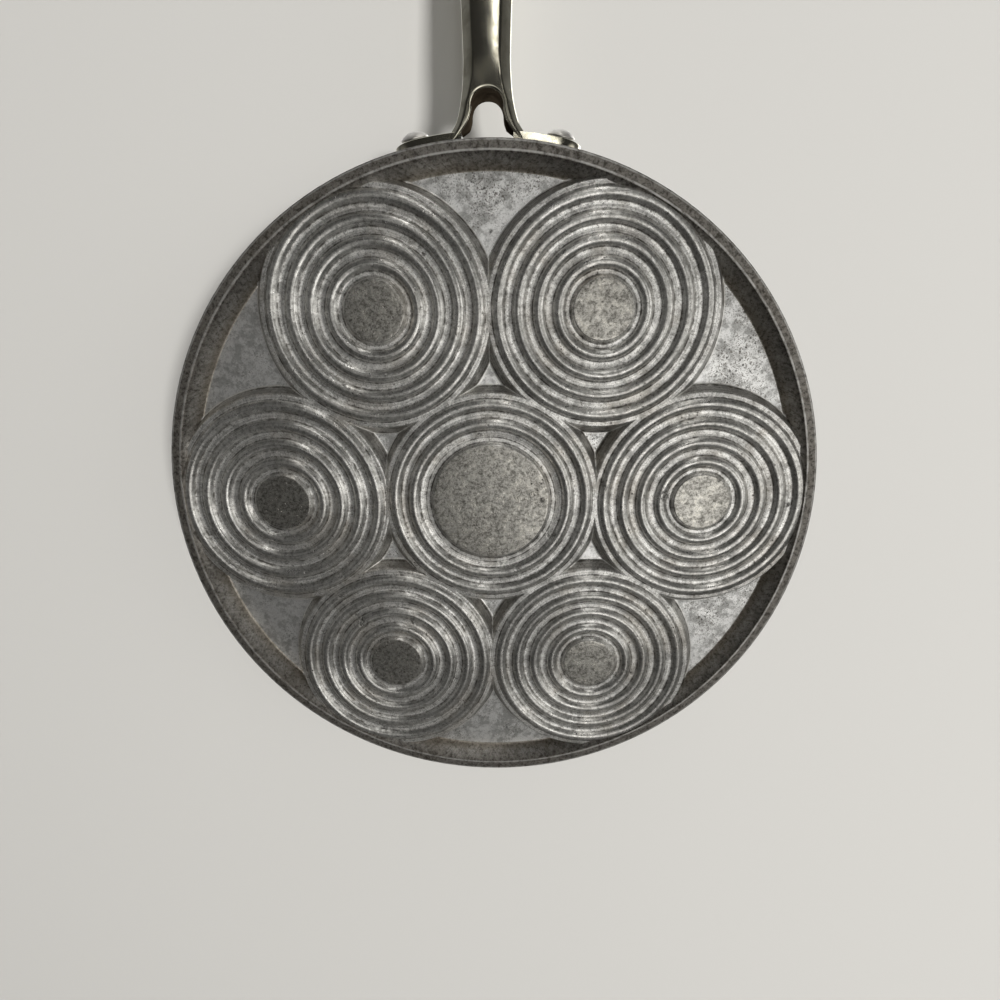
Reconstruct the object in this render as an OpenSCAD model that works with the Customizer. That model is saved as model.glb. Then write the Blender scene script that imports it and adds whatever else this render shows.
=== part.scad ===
/* Seven-well cast griddle pan with a riveted hollow handle, lying flat as on a stove. */
/* Millimetres, +Z up, cooking side up, handle along +Y, origin under the middle of the pan. */

/* [Casting] */
// Outer radius of the rim, at the top
rim_radius = 136.4; // [128:0.1:148]
// How far the side wall flares out from the foot ring to the rim
wall_flare = 7; // [5.5:0.1:8]
// Height of the pan from its resting plane to its rim
pan_height = 23; // [22.5:0.1:26]
// Width of the flat foot ring
foot_width = 4; // [3:0.1:5]
// Thickness of the side wall above the plate
wall_thickness = 3.6; // [3:0.1:4]
// Height of the underside of the plate over the resting plane
plate_height = 7.4; // [6.6:0.1:8]
// Thickness of the plate between the wells
plate_thickness = 3.2; // [2.8:0.1:3.6]
// How far the foot ring's inner wall leans inward on its way up to the plate
skirt_lean = 3.7; // [2:0.1:5]
// Radius rounding the edges of the foot ring
foot_round = 0.7; // [0.4:0.1:1]
// Radius rounding the rim
rim_round = 1.2; // [0.6:0.1:1.6]

/* [Well discs] */
// Height of the lands between the beads over the resting plane
land_height = 1.6; // [1.2:0.1:2]
// Height of each bead over its lands
bead_height = 1.45; // [0.8:0.05:1.55]
// Width of a bead where it meets the lands
bead_width = 4.6; // [4:0.1:5]
// Distance of the innermost bead's crest from the edge of the pad
bead_lead = 5.4; // [5:0.1:6.2]
// Distance of the outermost bead's crest from the edge of the disc
bead_edge = 4.3; // [4.1:0.05:5]
// Number of beads on an outer disc
bead_count = 4; // [3:1:4]
// Number of beads left out inside the middle disc's larger pad
bead_skip = 2; // [1:1:2]
// Radius of the flat pad in an outer disc
pad_radius = 11; // [9.4:0.1:11.4]
// Distance of the middle disc's larger pad from the first bead around it
pad_gap_middle = 8.2; // [7.6:0.1:10]
// How far each disc runs into its neighbours, at its lands
disc_merge = 0.8; // [0.4:0.1:1.2]
// How far the outer discs reach in under the foot ring's inner wall
disc_tuck = 2.9; // [1.5:0.1:3.5]
// How far a disc's side wall leans out on its way up to the plate
disc_lean = 3.1; // [2:0.1:4]

/* [Wells] */
// Distance of the edge of a well's floor from the edge of its disc
well_margin = 5.2; // [4.6:0.1:7]
// How far a well's side leans out on its way up
well_lean = 1.9; // [1:0.1:2.4]
// Thickness of metal under a well
well_bottom = 3.3; // [2.8:0.1:3.8]
// Radius rounding the foot of a well's side
well_fillet = 1.6; // [0.8:0.1:2]
// Radius rounding the lip of a well
well_lip = 0.9; // [0.4:0.1:1]

/* [Handle root] */
// Height of the lower edge of the feet and legs over the resting plane
foot_plate_low = 8.5; // [8:0.1:9.4]
// Depth of the feet and legs
root_depth = 11.7; // [10:0.1:12.4]
// Thickness of the two feet
foot_plate_thickness = 2.8; // [2.2:0.1:3.2]
// Half the length of the feet, across the pan
foot_plate_reach = 31.6; // [30:0.1:34]
// Gap between the feet and the pan wall
seat_gap = 0.05; // [0.02:0.01:0.1]
// Distance of the top of the arch from the foot ring
arch_reach = 18.2; // [16:0.1:20]
// Half width of the arch below its rounded top
arch_half = 5.7; // [5:0.1:6]
// Length of the arch's rounded top
arch_round = 4.5; // [3:0.1:6]
// How fast the arch widens towards the pan
arch_spread = 0.102; // [0.05:0.001:0.12]
// Power of the arch's widening
arch_power = 1.585; // [1.3:0.005:1.7]

/* [Handle grip] */
// Length of the handle from the foot ring to its far end
handle_length = 206.6; // [190:0.2:220]
// Half width of the handle at its waist
waist_half = 8.15; // [7.8:0.05:9]
// Extra half width of the fork at the pan wall
fork_gain = 5.2; // [4:0.1:6]
// Length over which the fork's extra width dies away
fork_fade = 7.6; // [6:0.1:9]
// Extra half width of the grip at its widest
grip_gain = 3.4; // [2:0.1:5]
// Distance over which the grip widens
grip_run = 132; // [100:1:150]
// Slope of the grip over the level
grip_slope = 9; // [4:0.5:14]
// Length of the bend between the level root and the sloping grip
bend_run = 30; // [15:1:45]
// Distance from the foot ring to where the grip begins to widen
grip_lead = 27.6; // [24:0.2:36]
// Distance from the foot ring to where the grip begins to thin
thin_lead = 110; // [70:1:140]
// How much the half depth shrinks towards the far end
end_thinning = 1.5; // [0.5:0.1:2]
// Width of the slanting facets along the handle's edges
facet = 3.4; // [2:0.1:3.6]
// Sheet thickness of the handle's shells
sheet = 1.5; // [1.2:0.1:2]
// Distance of the hanging hole from the handle's far end
eye_inset = 14; // [12:0.5:20]
// Radius of the hanging hole
eye_radius = 5; // [4:0.1:5.6]

/* [Rivets] */
// Distance of each rivet from the handle's centre line
rivet_offset = 26.2; // [25:0.1:27]
// Height of the rivets over the resting plane
rivet_height = 15.4; // [15.2:0.1:15.8]
// Radius of the rivet shank
rivet_shank = 2.6; // [2.4:0.1:3]
// Radius of the outer, domed rivet head
rivet_head = 5.1; // [4.6:0.1:5.4]
// Height of the domed head
rivet_dome = 2.8; // [2.2:0.1:3.6]
// Radius of the head inside the pan
rivet_button = 4; // [3.6:0.1:4.2]
// Height of the head inside the pan
rivet_button_height = 1.8; // [1.2:0.1:2.2]
// Gap around the shank in its holes
rivet_gap = 0.15; // [0.1:0.01:0.2]

/* [Quality] */
// Segments of a full circle
roundness = 96; // [64:8:180]
// Steps along the handle
handle_steps = 48; // [24:4:80]

/* [Hidden] */
$fn = roundness;
eps = 0.01;
foot_radius = rim_radius - wall_flare;
pitch = (foot_radius - foot_width + disc_tuck - disc_merge) * 2 / 3;
disc_radius = pitch / 2 + disc_merge;
well_radius = disc_radius - well_margin;
bead_first = pad_radius + bead_lead;
bead_spacing = (disc_radius - bead_edge - bead_first) / (bead_count - 1);
pad_radius_middle = bead_first + bead_skip * bead_spacing - pad_gap_middle;
plate_top = plate_height + plate_thickness;
draft = atan(wall_flare / pan_height);
well_floor = land_height + well_bottom;
well_depth = plate_top - well_floor;
well_count = 6;
well_step = 360 / well_count;
bead_arc = (pow(bead_width / 2, 2) + pow(bead_height, 2)) / (2 * bead_height);
bead_centre = land_height - bead_height + bead_arc;
plate_inset = plate_thickness / 3;
disc_rise = (plate_height + plate_inset - land_height) / (plate_height - land_height);
arch_top = foot_radius + arch_reach;
handle_end = foot_radius + handle_length;
grip_start = foot_radius + grip_lead;
thin_start = foot_radius + thin_lead;
root_high = foot_plate_low + root_depth;
root_mid = foot_plate_low + root_depth / 2;
wall_line = foot_radius + tan(draft) * root_mid;
shell_start = arch_top + 2;
seam_start = shell_start + 3;
bend_start = arch_top - 4;
arch_steps = handle_steps / 4;
margin = 12;
eye_y = handle_end - eye_inset;
end_half = waist_half + grip_gain;
end_centre = handle_end - end_half;
rivet_angle = asin(rivet_offset / (foot_radius + tan(draft) * rivet_height));
foot_sweep = 2 * asin(foot_plate_reach / foot_radius);
root2 = sqrt(2);
tall = handle_end;
steel = [0.72, 0.71, 0.68];
alloy = [0.62, 0.61, 0.58];

/* Outer radius of the side wall at a height. */
function wall_at(z) = foot_radius + tan(draft) * z;

/* Half width of the handle at a distance from the pan's middle. */
function fork_part(y) = fork_gain * exp(-(y - wall_line) / fork_fade);
function grip_part(y) = grip_gain * sin(90 * min(1, max(0, (y - grip_start) / grip_run)));
function end_part(y) = sqrt(max(0, pow(end_half, 2) - pow(y - end_centre, 2)));
function side_half(y) = waist_half + fork_part(y) + grip_part(y);
function half_width(y) = y > end_centre ? min(side_half(y), end_part(y)) : side_half(y);

/* Height of the handle's middle line, level at the root and sloping further out. */
function bend(y) = min(1, max(0, (y - bend_start) / bend_run));
function past_bend(y) = max(0, y - bend_start - bend_run);
function mid_height(y) = root_mid + tan(grip_slope) * (bend_run * pow(bend(y), 2) / 2 + past_bend(y));
function thin(y) = min(1, max(0, (y - thin_start) / (handle_end - thin_start)));
function half_depth(y) = root_depth / 2 - end_thinning * pow(thin(y), 2);

/* Half width of the arch at a distance from the pan's middle. */
function arch_tip(y) = arch_half * pow(max(0, 1 - pow((y - arch_top + arch_round) / arch_round, 3)), 1 / 3);
function arch_leg(y) = arch_half + arch_spread * pow(arch_top - arch_round - y, arch_power);
function arch_at(y) = y > arch_top - arch_round ? arch_tip(y) : arch_leg(y);

/* One bead of a disc, as a full round whose crest comes down to the bead height. */
module bead(k) {
    translate([bead_first + k * bead_spacing, bead_centre]) circle(r = bead_arc);
}

/* Half section of a disc, from its pad out to its side wall. */
module disc_section(pad, first_bead) {
    difference() {
        union() {
            polygon([
                [0, land_height],
                [disc_radius, land_height],
                [disc_radius + disc_lean * disc_rise, plate_height + plate_inset],
                [0, plate_height + plate_inset]
            ]);
            square([pad, plate_height]);
            translate([pad, land_height]) circle(r = land_height);
            for (k = [first_bead : bead_count - 1]) bead(k);
        }
        translate([-tall, plate_height + plate_inset]) square([2 * tall, tall]);
        translate([-tall, -tall]) square([tall, 2 * tall]);
    }
}

/* One disc of the underside, a revolved solid that runs up into the plate. */
module disc(pad, first_bead) {
    rotate_extrude() disc_section(pad, first_bead);
}

/* Half section of a well, used to cut it out. */
module well_section() {
    side = atan(well_lean / well_depth);
    difference() {
        polygon([
            [0, well_floor],
            [well_radius, well_floor],
            [well_radius + well_lean, plate_top],
            [well_radius + well_lean, plate_top + plate_inset],
            [0, plate_top + plate_inset]
        ]);
        difference() {
            translate([well_radius - well_fillet, well_floor - eps]) square([2 * well_fillet, well_fillet]);
            translate([well_radius - well_fillet * tan(45 - side / 2), well_floor + well_fillet])
                circle(r = well_fillet);
        }
    }
    difference() {
        translate([well_radius, plate_top - well_lip]) square([well_lean + well_lip, well_lip + plate_inset]);
        translate([well_radius + well_lean + well_lip, plate_top - well_lip]) circle(r = well_lip);
    }
}

/* Half section of the pan without its discs: foot ring, plate and side wall. */
module body_section() {
    inner_foot = foot_radius - foot_width;
    difference() {
        polygon([
            [0, plate_height],
            [inner_foot - skirt_lean, plate_height],
            [inner_foot, 0],
            [foot_radius, 0],
            [rim_radius, pan_height],
            [rim_radius - wall_thickness, pan_height],
            [wall_at(plate_top) - wall_thickness, plate_top],
            [0, plate_top]
        ]);
        difference() {
            translate([foot_radius - foot_round, -eps]) square([2 * foot_round, foot_round]);
            translate([foot_radius - foot_round, foot_round]) circle(r = foot_round);
        }
        difference() {
            translate([inner_foot - foot_round, -eps]) square([2 * foot_round, foot_round]);
            translate([inner_foot + foot_round / 2, foot_round]) circle(r = foot_round);
        }
        difference() {
            translate([rim_radius - rim_round, pan_height - rim_round]) square([2 * rim_round, 2 * rim_round]);
            translate([rim_radius - rim_round, pan_height - rim_round]) circle(r = rim_round);
        }
        difference() {
            translate([rim_radius - wall_thickness - rim_round, pan_height - rim_round])
                square([2 * rim_round, 2 * rim_round]);
            translate([rim_radius - wall_thickness + rim_round, pan_height - rim_round]) circle(r = rim_round);
        }
    }
}

/* Copies its children to the six outer well places. */
module around() {
    for (k = [0 : well_count - 1]) rotate([0, 0, k * well_step]) translate([pitch, 0, 0]) children();
}

/* Copies its children to the two rivet places, with +Z along the rivet and out of the wall. */
module at_rivets() {
    for (side = [-1, 1])
        rotate([0, 0, 90 + side * rivet_angle])
            translate([wall_at(rivet_height), 0, rivet_height])
                rotate([0, 90 + draft, 0]) children();
}

/* The cast pan: foot ring, plate, seven wells with their ribbed discs, and side wall. */
module pan() {
    color(alloy) difference() {
        union() {
            rotate_extrude() body_section();
            intersection() {
                union() {
                    disc(pad_radius_middle, bead_skip);
                    around() disc(pad_radius, 0);
                }
                cylinder(r = foot_radius - foot_width / 2, h = plate_top);
            }
        }
        rotate_extrude() well_section();
        around() rotate_extrude() well_section();
        at_rivets() cylinder(r = rivet_shank + rivet_gap, h = 6 * wall_thickness, center = true);
    }
}

/* The handle's outline from above, as a prism pulled in by a margin. */
module plan_prism(inset) {
    first = wall_line - margin;
    last = handle_end - inset;
    ys = [for (k = [0 : handle_steps]) first + (last - first) * sin(90 * k / handle_steps)];
    right = [for (y = ys) [max(eps, half_width(y) - inset), y]];
    left = [for (k = [handle_steps : -1 : 0]) [-max(eps, half_width(ys[k]) - inset), ys[k]]];
    linear_extrude(height = tall) polygon(concat(right, left));
}

/* The handle's outline from the side, as a prism pulled in by a margin. */
module side_prism(inset) {
    first = wall_line - margin;
    last = handle_end - facet;
    along = [for (k = [0 : handle_steps]) first + (last - first) * k / handle_steps];
    ys = concat(along, [handle_end]);
    half = [for (y = ys) half_depth(y) - max(0, y - last) - inset];
    low = [for (k = [0 : handle_steps + 1]) [ys[k], mid_height(ys[k]) - half[k]]];
    high = [for (k = [handle_steps + 1 : -1 : 0]) [ys[k], mid_height(ys[k]) + half[k]]];
    rotate([90, 0, 90]) translate([0, 0, -tall / 2]) linear_extrude(height = tall) polygon(concat(low, high));
}

/* A prism along one diagonal that cuts two of the four slanting facets. */
module facet_prism(inset) {
    first = wall_line - margin;
    ys = [for (k = [0 : handle_steps]) first + (handle_end - first) * k / handle_steps];
    reach = [for (y = ys) (side_half(y) + half_depth(y) - facet) / root2 - inset];
    low = [for (k = [0 : handle_steps]) [reach[k] - mid_height(ys[k]) / root2, ys[k]]];
    high = [for (k = [handle_steps : -1 : 0]) [-reach[k] - mid_height(ys[k]) / root2, ys[k]]];
    rotate([0, 45, 0]) translate([0, 0, -tall / 2]) linear_extrude(height = tall) polygon(concat(low, high));
}

/* The solid form of the handle, eight-sided in section, pulled in by a margin. */
module handle_form(inset) {
    intersection() {
        plan_prism(inset);
        side_prism(inset);
        facet_prism(inset);
        mirror([1, 0, 0]) facet_prism(inset);
    }
}

/* The arch between the two legs, as a prism. */
module arch_prism() {
    first = wall_line - margin;
    tip = [for (k = [0 : arch_steps]) arch_top - arch_round * (1 - sin(90 * k / arch_steps))];
    leg = [for (k = [0 : arch_steps - 1]) first + (arch_top - arch_round - first) * k / arch_steps];
    ys = concat(leg, tip);
    last = len(ys) - 1;
    right = [for (y = ys) [arch_at(y), y]];
    left = [for (k = [last - 1 : -1 : 0]) [-arch_at(ys[k]), ys[k]]];
    translate([0, 0, -eps]) linear_extrude(height = tall) polygon(concat(right, left));
}

/* The two feet, a band that follows the pan wall, with rounded ends. */
module feet() {
    low = foot_plate_low;
    high = root_high;
    intersection() {
        rotate([0, 0, 90 - foot_sweep / 2]) rotate_extrude(angle = foot_sweep) polygon([
            [wall_at(low) + seat_gap, low],
            [wall_at(low) + seat_gap + foot_plate_thickness, low],
            [wall_at(high) + seat_gap + foot_plate_thickness, high],
            [wall_at(high) + seat_gap, high]
        ]);
        translate([0, tall, root_mid]) rotate([90, 0, 0]) linear_extrude(height = tall) union() {
            square([2 * (foot_plate_reach - root_depth / 2), root_depth], center = true);
            for (side = [-1, 1])
                translate([side * (foot_plate_reach - root_depth / 2), 0]) circle(r = root_depth / 2);
        }
    }
}

/* Everything that lies over the seam between the two shells. */
module over_seam() {
    ys = [for (k = [0 : handle_steps]) seam_start + (handle_end + margin - seam_start) * k / handle_steps];
    line = [for (y = ys) [y, mid_height(y)]];
    rotate([90, 0, 90]) translate([0, 0, -tall / 2]) linear_extrude(height = tall)
        polygon(concat(line, [[handle_end + margin, tall], [seam_start, tall]]));
}

/* A round bar through the far end of the handle, square to its slope. */
module eye_bar(radius) {
    translate([0, eye_y, mid_height(eye_y)]) rotate([grip_slope, 0, 0])
        cylinder(r = radius, h = 6 * end_half, center = true);
}

/* The whole handle before it is parted into two shells. */
module handle_whole() {
    difference() {
        union() {
            difference() {
                handle_form(0);
                difference() {
                    handle_form(sheet);
                    translate([-tall / 2, 0, 0]) cube([tall, shell_start, tall]);
                    eye_bar(eye_radius + sheet);
                }
            }
            feet();
        }
        cylinder(r1 = wall_at(0) + seat_gap, r2 = wall_at(tall) + seat_gap, h = tall);
        arch_prism();
        eye_bar(eye_radius);
    }
}

/* The handle's lower shell, with the fork, its two legs and the feet. */
module handle_lower() {
    color(steel) difference() {
        handle_whole();
        over_seam();
        at_rivets() cylinder(r = rivet_shank + rivet_gap, h = 6 * wall_thickness, center = true);
    }
}

/* The handle's upper shell, welded on along the seam. */
module handle_upper() {
    color(steel) intersection() {
        handle_whole();
        over_seam();
    }
}

/* Half section of a rivet: domed head outside, shank, and a low head inside the pan. */
module rivet_section() {
    seat = foot_plate_thickness * cos(draft) + 2 * seat_gap;
    depth = wall_thickness * cos(draft);
    dome_round = (pow(rivet_head, 2) + pow(rivet_dome, 2)) / (2 * rivet_dome);
    button_round = (pow(rivet_button, 2) + pow(rivet_button_height, 2)) / (2 * rivet_button_height);
    translate([0, -depth - 2 * seat_gap]) square([rivet_shank, depth + seat + 3 * seat_gap]);
    intersection() {
        translate([0, seat]) square([rivet_head, rivet_dome]);
        translate([0, seat + rivet_dome - dome_round]) circle(r = dome_round);
    }
    intersection() {
        translate([0, -depth - seat_gap - rivet_button_height]) square([rivet_button, rivet_button_height]);
        translate([0, -depth - seat_gap - rivet_button_height + button_round]) circle(r = button_round);
    }
}

/* The pair of rivets that hold the feet to the wall. */
module rivets() {
    color(steel) at_rivets() rotate_extrude() intersection() {
        rivet_section();
        translate([0, -tall]) square([tall, 2 * tall]);
    }
}

pan();
handle_lower();
handle_upper();
rivets();
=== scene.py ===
# %% [markdown]
# # A cast griddle pan with seven wells, seen from its ribbed underside
# The pan is one aluminium casting with a hollow steel handle held by two rivets. The solids come from the
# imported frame, and this lesson dresses them: it makes finer pieces in the same places, gives each a
# procedural finish, and sets up the camera, the backdrop and the lamps.

# %% Load the frame
import math

import bmesh
import bpy
import numpy as np
from mathutils import Matrix, Vector


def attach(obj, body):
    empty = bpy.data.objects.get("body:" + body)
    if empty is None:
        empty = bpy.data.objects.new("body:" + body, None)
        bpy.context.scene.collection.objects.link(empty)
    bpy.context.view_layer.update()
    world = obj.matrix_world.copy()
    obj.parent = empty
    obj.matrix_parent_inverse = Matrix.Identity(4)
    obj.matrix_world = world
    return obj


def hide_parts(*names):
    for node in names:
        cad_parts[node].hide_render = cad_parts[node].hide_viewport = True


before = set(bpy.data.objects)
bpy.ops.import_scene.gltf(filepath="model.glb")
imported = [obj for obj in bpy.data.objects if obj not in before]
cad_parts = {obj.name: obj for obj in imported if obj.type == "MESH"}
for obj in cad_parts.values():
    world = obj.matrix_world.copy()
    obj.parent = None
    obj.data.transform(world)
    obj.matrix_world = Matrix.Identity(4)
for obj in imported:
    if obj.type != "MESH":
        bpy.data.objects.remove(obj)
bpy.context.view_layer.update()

# %% [markdown]
# ## The camera
# The photograph looks straight up at the underside, from close by and with a very wide lens: the seven discs
# lie on a regular hexagon, and that was enough to work out where the camera stood. The pan lies flat in the
# frame, as on a stove, so the camera is below it and looks up, with the handle at the top of the picture.
# A lens of 19 mm on a sensor 36 mm wide gives the photograph's angle of view.

# %% The camera under the pan
STANDPOINT = Vector((-0.0081, 0.0567, -0.2063))
LOOK = Vector((0.0202, -0.2608, 0.9652)).normalized()
UP = Vector((-0.0017, 0.9654, 0.2609))

right_of_view = LOOK.cross(UP).normalized()
up_of_view = right_of_view.cross(LOOK).normalized()
axes_of_view = Matrix((right_of_view, up_of_view, -LOOK)).transposed().to_4x4()
camera_data = bpy.data.cameras.new("camera")
camera_data.lens = 19.0
camera_data.sensor_width = 36.0
camera_data.clip_start = 0.005
camera_data.clip_end = 50.0
camera = bpy.data.objects.new("camera", camera_data)
camera.matrix_world = Matrix.Translation(STANDPOINT) @ axes_of_view
bpy.context.scene.collection.objects.link(camera)
bpy.context.scene.camera = camera
print("camera at", [round(v, 3) for v in STANDPOINT], "lens", camera_data.lens)

# %% [markdown]
# ## Sizes
# The measures are the maker's, in millimetres, and the same as in the solids. A mesh is made in millimetres,
# because the numbers are easier to read, and is brought to metres when it becomes an object.

# %% The measures of the casting
PITCH = 85.0            # from one well's middle to the next
FOOT = 129.4            # outer radius of the ring that the pan stands on
RIM = 136.4             # outer radius of the rim
HEIGHT = 23.0           # from the foot ring to the rim
FOOT_WIDTH = 4.0        # width of the foot ring's face
WALL = 3.6              # thickness of the side wall
FLOOR = 7.4             # height of the flat metal between the discs
PLATE_TOP = 10.6        # height of the plate's upper side
LAND = 1.6              # height of the flat lands between the beads
BEAD_HEIGHT = 1.45      # height of a bead over its lands
BEAD_WIDTH = 4.6        # width of a bead
FIRST_BEAD = 16.4       # radius of the innermost bead's crest
BEAD_STEP = 7.53        # from one crest to the next
DISC = 43.3             # radius of a disc at its lands
DISC_FOOT = 46.4        # radius of a disc where it meets the floor
PAD = 11.0              # radius of the flat pad in an outer disc
PAD_MIDDLE = 23.3       # radius of the flat pad in the middle disc
WELL = 38.1             # radius of a well's floor
WELL_FLOOR = 4.9        # height of a well's floor
WELL_LIP = 40.0         # radius of a well at the plate's upper side
LAST_LAND = 42.0        # radius up to which the outermost land is flat
WELL_FLAT = 42.2        # radius from which the plate round a well is flat
FLAT_START = 49.4       # radius from which the floor round a disc is flat
SKIRT_TOP = 121.7       # radius where the wall inside the foot ring meets the floor
TURNS = 144             # steps in a full turn
MM = 0.001              # one millimetre in metres
BEADS = [FIRST_BEAD + k * BEAD_STEP for k in range(4)]
lean = (RIM - FOOT) / HEIGHT
inner_foot = FOOT - FOOT_WIDTH
print("bead crests at", [round(r, 1) for r in BEADS], "mm, side wall leans", round(lean, 2), "mm per mm")

# %% [markdown]
# ## Helpers for round forms
# A casting has no sharp corners: sand and molten metal round each one a little. A profile is drawn as a chain
# of straight lines, and each corner is then replaced by a short curve. Spinning that chain round an axis
# gives a turned form, which is how the pattern for such a disc would be made on a lathe.

# %% Round the corners of a profile
def rounded(points, radii, steps=4):
    """The chain of points, with each inner corner swapped for a short curve of the radius given for it."""
    out = [Vector(points[0])]
    for before, corner, after, radius in zip(points, points[1:], points[2:], radii):
        a, b, c = Vector(before), Vector(corner), Vector(after)
        into, away = (a - b), (c - b)
        longest = min(into.length, away.length) * 0.49
        reach = min(radius * math.tan((math.pi - into.angle(away)) / 2), longest)
        start, end = b + into.normalized() * reach, b + away.normalized() * reach
        for k in range(steps + 1):
            t = k / steps
            out.append(start * (1 - t) ** 2 + b * 2 * t * (1 - t) + end * t ** 2)
    out.append(Vector(points[-1]))
    return out


# %% Spin a profile into a turned form
def turned(profile, centre=(0.0, 0.0), closed=False):
    """A new bmesh: the profile, given as radius and height, spun once round an upright axis."""
    bm = bmesh.new()
    cx, cy = centre
    verts = [bm.verts.new((cx + p[0], cy, p[1])) for p in profile]
    ring = list(zip(verts, verts[1:])) + ([(verts[-1], verts[0])] if closed else [])
    edges = [bm.edges.new(pair) for pair in ring]
    bmesh.ops.spin(bm, geom=verts + edges, cent=(cx, cy, 0), axis=(0, 0, 1), angle=2 * math.pi, steps=TURNS,
                   use_merge=True, use_duplicate=False)
    bmesh.ops.remove_doubles(bm, verts=bm.verts, dist=1e-4)
    return bm


# %% Turn a bmesh in millimetres into an object in metres
def add_bmesh(target, source, turn=0.0):
    """Adds a copy of source to target, turned about the upright axis."""
    mesh = bpy.data.meshes.new("part")
    source.to_mesh(mesh)
    mesh.transform(Matrix.Rotation(turn, 4, "Z"))
    target.from_mesh(mesh)
    bpy.data.meshes.remove(mesh)


def finished(bm, name, materials, sharp=40.0):
    """The finished object: smooth faces, soft edges up to the sharp angle, in metres, with its materials."""
    bmesh.ops.scale(bm, vec=(MM, MM, MM), verts=bm.verts)
    for face in bm.faces:
        face.smooth = True
    mesh = bpy.data.meshes.new(name)
    bm.to_mesh(mesh)
    bm.free()
    mesh.set_sharp_from_angle(angle=math.radians(sharp))
    for material in materials:
        mesh.materials.append(material)
    piece = bpy.data.objects.new(name, mesh)
    bpy.context.scene.collection.objects.link(piece)
    triangles = sum(len(p.vertices) - 2 for p in mesh.polygons)
    print(name, len(mesh.vertices), "vertices", triangles, "triangles")
    return piece


# %% [markdown]
# ## Finishes
# Metal is mostly reflection, so its look comes from small changes of roughness and bump more than from its
# colour. Every pattern reads Object coordinates, which are the real metres of the frame, so a grain of half a
# millimetre is the same size on every piece.

# %% Small helpers for node trees
def new_material(name):
    """An empty node material, its tree and its Principled shader."""
    material = bpy.data.materials.new(name)
    material.use_nodes = True
    tree = material.node_tree
    return material, tree, tree.nodes["Principled BSDF"]


def put(tree, kind, inputs=None, **settings):
    """Adds a node, sets it up, and fills or links its inputs."""
    node = tree.nodes.new(kind)
    for key, value in settings.items():
        setattr(node, key, value)
    for key, value in (inputs or {}).items():
        if isinstance(value, bpy.types.NodeSocket):
            tree.links.new(value, node.inputs[key])
        else:
            node.inputs[key].default_value = value
    return node


def grain(tree, where, scale, detail=3.0, rough=0.55, twist=0.0):
    """A noise pattern whose patches are about 1/scale metres wide."""
    return put(tree, "ShaderNodeTexNoise", {"Vector": where, "Scale": scale, "Detail": detail,
                                            "Roughness": rough, "Distortion": twist}).outputs["Fac"]


def between(tree, value, low, high, out_low=0.0, out_high=1.0):
    """Stretches a value so that low..high becomes out_low..out_high, softly at both ends."""
    return put(tree, "ShaderNodeMapRange", {"Value": value, "From Min": low, "From Max": high,
                                            "To Min": out_low, "To Max": out_high},
               interpolation_type="SMOOTHSTEP").outputs["Result"]


def sums(tree, kind, a, b):
    """One sum on two values: ADD, MULTIPLY, SUBTRACT, MAXIMUM and so on."""
    return put(tree, "ShaderNodeMath", {0: a, 1: b}, operation=kind).outputs[0]


def size_of(tree, value):
    """The value without its sign."""
    return put(tree, "ShaderNodeMath", {0: value}, operation="ABSOLUTE").outputs[0]


def line_at(tree, value, centre, half):
    """One on the line where the value is centre, fading to nothing at half a width to either side."""
    off = size_of(tree, sums(tree, "SUBTRACT", value, centre))
    return between(tree, off, half, half * 0.25)


def blended(tree, share, a, b):
    """A colour between a and b. A Mix node's inputs 6 and 7 are its colours, and output 2 the result."""
    return put(tree, "ShaderNodeMix", {0: share, 6: a, 7: b}, data_type="RGBA").outputs[2]


def bumped(tree, height, strength, distance, under=None):
    """A bump of the given depth in metres, on top of another bump if there is one."""
    inputs = {"Height": height, "Strength": strength, "Distance": distance}
    if under is not None:
        inputs["Normal"] = under
    return put(tree, "ShaderNodeBump", inputs).outputs["Normal"]
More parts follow.
